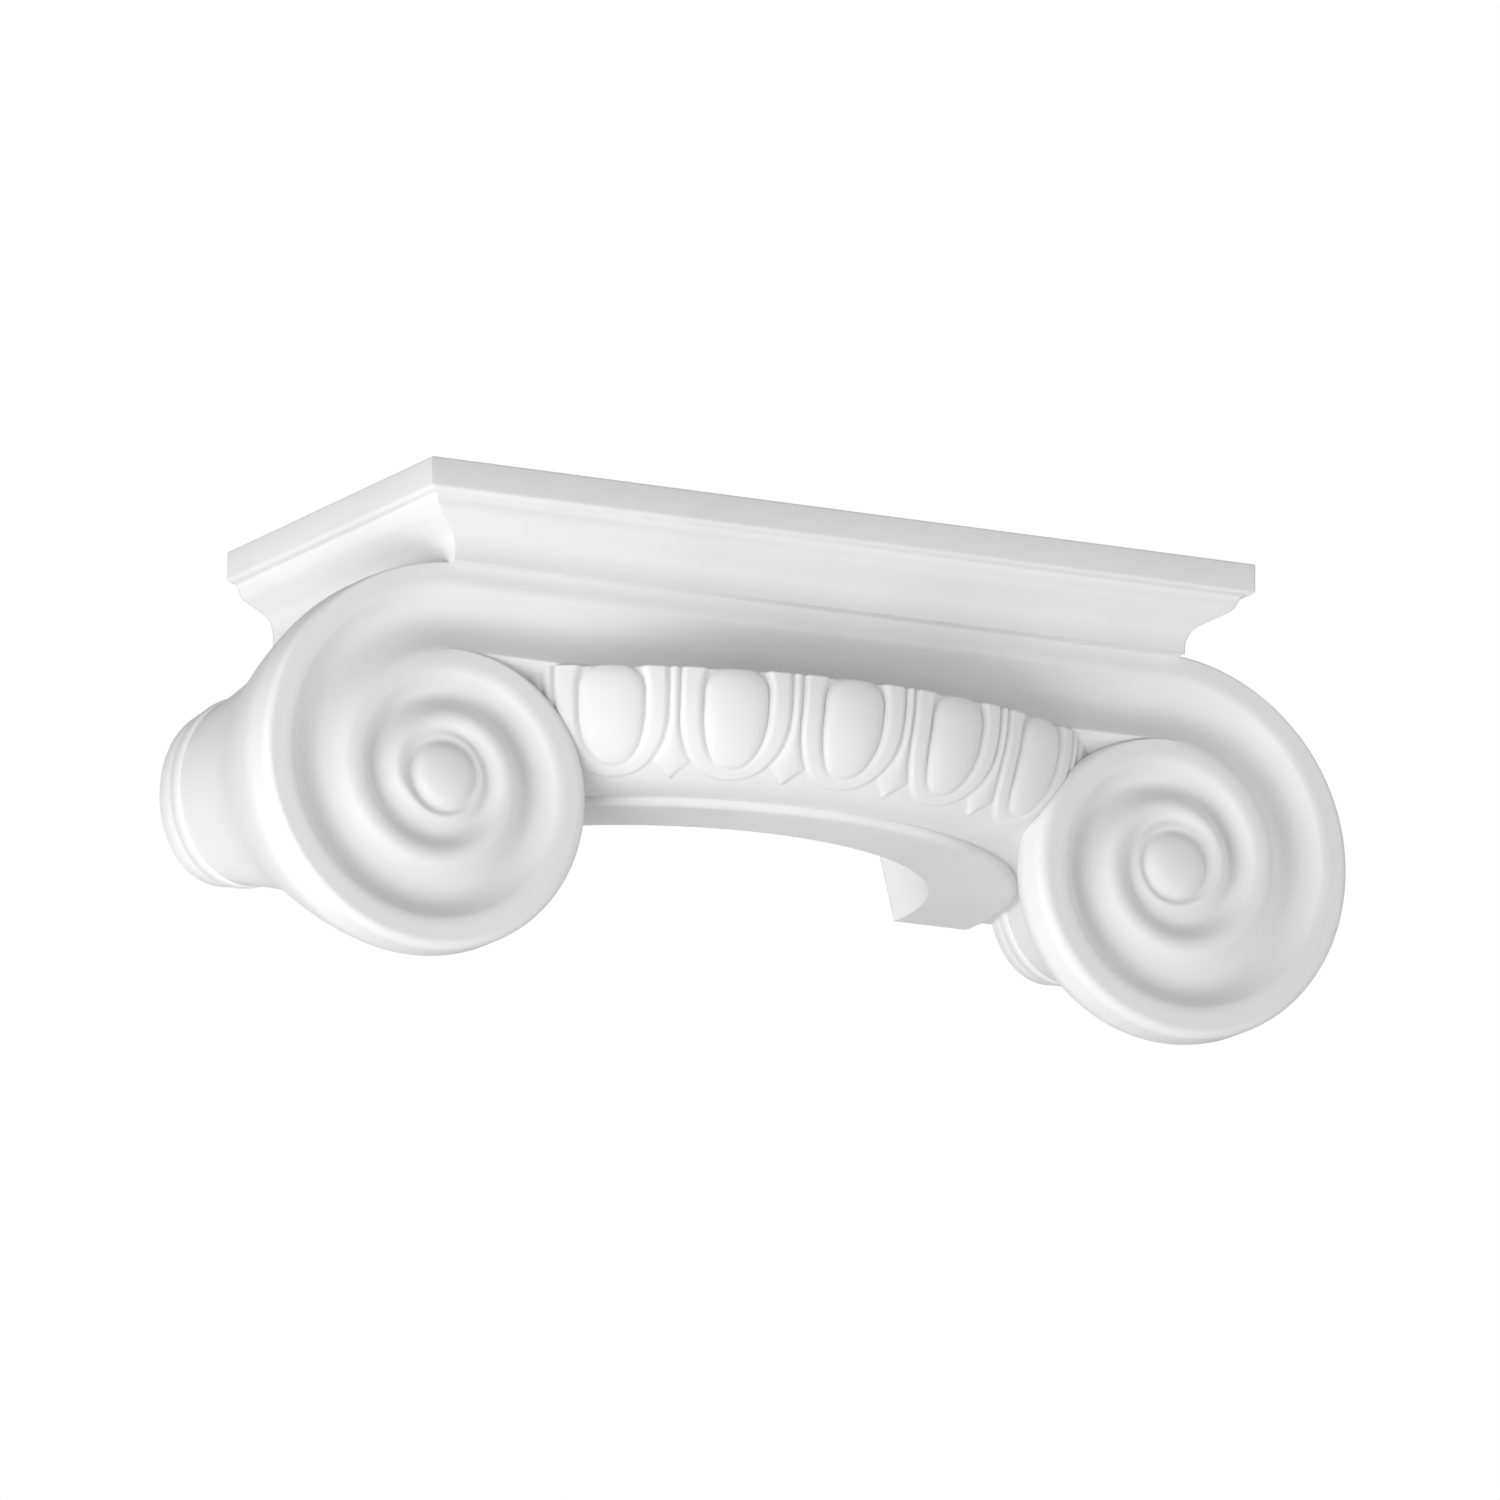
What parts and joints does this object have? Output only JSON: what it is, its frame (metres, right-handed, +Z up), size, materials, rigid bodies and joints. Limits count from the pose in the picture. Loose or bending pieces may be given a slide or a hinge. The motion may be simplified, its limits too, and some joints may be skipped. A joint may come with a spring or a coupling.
{
  "type": "half ionic capital",
  "caption": "Half ionic column capital with moulded abacus, scrolled volutes and an egg-and-dart echinus, cut flat to fix to a wall over a half-round shaft.",
  "frame": {"origin": "on the flat wall face, on the centre line, 31 mm below the top of the abacus", "axes": "+X to the right across the front, +Y into the wall, +Z up; the front looks along -Y"},
  "size_m": [0.4074, 0.1638, 0.1603],
  "materials": {
    "primed_foam": "rigid moulded polyurethane foam under matt white primer"
  },
  "bodies": {
    "root": {"half_capital": "primed_foam"}
  },
  "joints": []
}
